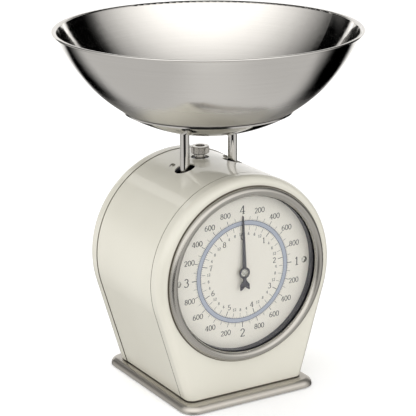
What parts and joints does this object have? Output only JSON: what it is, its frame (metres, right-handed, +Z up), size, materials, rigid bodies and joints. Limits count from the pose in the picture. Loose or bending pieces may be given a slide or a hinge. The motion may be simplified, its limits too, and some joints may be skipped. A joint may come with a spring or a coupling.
{
  "type": "kitchen scale",
  "caption": "Retro mechanical kitchen scale: loose steel bowl on a sprung platform, with a rack-driven pointer on a round dial in an enamelled housing.",
  "frame": {"origin": "on the supporting surface, under the bowl's axis, midway between the housing's faces", "axes": "+X to the right seen from the dial, -Y out of the dial to the front, +Z up along the posts"},
  "size_m": [0.24, 0.24, 0.286],
  "materials": {
    "enamel": "glossy cream enamel",
    "brushed_steel": "brushed",
    "bezel_steel": "satin",
    "bowl_steel": "fine spun brushing outside, near-mirror inside",
    "post_chrome": "polished",
    "bright_steel": "bright",
    "zinc_steel": "zinc plated",
    "knob_steel": "nickel plated, knurled",
    "spring_steel": "drawn wire",
    "brass": "turned",
    "lens": "clear",
    "dark_wall": "matte",
    "dial_card": "printed matte cream",
    "pointer_paint": "satin charcoal",
    "rubber": "matte"
  },
  "bodies": {
    "housing": {"base_tray": "brushed_steel", "rubber_feet": "rubber", "front_cover": "enamel", "center_band": "enamel", "rear_cover": "enamel", "bezel_ring": "bezel_steel", "dial_lens": "lens", "dial_well": "dark_wall", "dial_plate": "dial_card", "dial_screws": "bright_steel", "top_screws": "bright_steel", "housing_screws": "zinc_steel", "chassis": "dark_wall", "chassis_screws": "zinc_steel", "dial_bracket": "zinc_steel", "gear_bracket": "zinc_steel", "shaft_bushes": "brass", "frame_pins": "bright_steel"},
    "platform": {"rack": "brass", "rack_screws": "zinc_steel", "carriage": "zinc_steel", "left_post": "post_chrome", "right_post": "post_chrome", "post_nuts": "zinc_steel", "saucer": "bowl_steel", "saucer_screws": "zinc_steel", "carriage_pins": "bright_steel"},
    "pointer": {"pointer_needle": "pointer_paint", "pointer_screw": "bright_steel", "pointer_collet": "brass", "pointer_shaft": "bright_steel", "pinion": "brass"},
    "bowl": {"bowl": "bowl_steel"},
    "zero_adjuster": {"zero_knob": "knob_steel", "zero_stud": "zinc_steel", "stud_clip": "zinc_steel"},
    "hanger": {"spring_hanger": "zinc_steel", "left_spring": "spring_steel", "right_spring": "spring_steel"},
    "upper_guide": {"upper_link": "zinc_steel"},
    "lower_guide": {"lower_link": "zinc_steel"}
  },
  "joints": [
    {"name": "platform_slide", "type": "slide", "parent": "housing", "child": "platform", "axis": [0, 0, -1], "range_m": [-0.0014, 0.0157], "stiffness_N_per_m": 2500, "springref_m": -0.0028, "deforming": ["left_spring", "right_spring"]},
    {"name": "pointer_turn", "type": "hinge", "parent": "housing", "child": "pointer", "pos_m": [0, 0, 0.1025], "axis": [0, 1, 0], "range_deg": [-34, 361]},
    {"name": "bowl_lift", "type": "slide", "parent": "platform", "child": "bowl", "axis": [0, 0, 1], "range_m": [0, 0.06]},
    {"name": "zero_turn", "type": "hinge", "parent": "housing", "child": "zero_adjuster", "pos_m": [0, 0.0135, 0.18], "axis": [0, 0, 1], "range_deg": [-720, 720]},
    {"name": "hanger_climb", "type": "slide", "parent": "housing", "child": "hanger", "axis": [0, 0, 1], "range_m": [-0.0016, 0.0016]},
    {"name": "upper_guide_swing", "type": "hinge", "parent": "housing", "child": "upper_guide", "pos_m": [0, 0.022, 0.136], "axis": [1, 0, 0], "range_deg": [-2.2, 22.4]},
    {"name": "lower_guide_swing", "type": "hinge", "parent": "housing", "child": "lower_guide", "pos_m": [0, 0.022, 0.084], "axis": [1, 0, 0], "range_deg": [-2.2, 22.4]}
  ],
  "couplings": [
    {"joint": "pointer_turn", "follows": "platform_slide", "rad_per_m": 400},
    {"joint": "upper_guide_swing", "follows": "platform_slide", "rad_per_m": 24.685},
    {"joint": "lower_guide_swing", "follows": "platform_slide", "rad_per_m": 24.685},
    {"joint": "zero_turn", "follows": "hanger_climb", "rad_per_m": -7854}
  ]
}
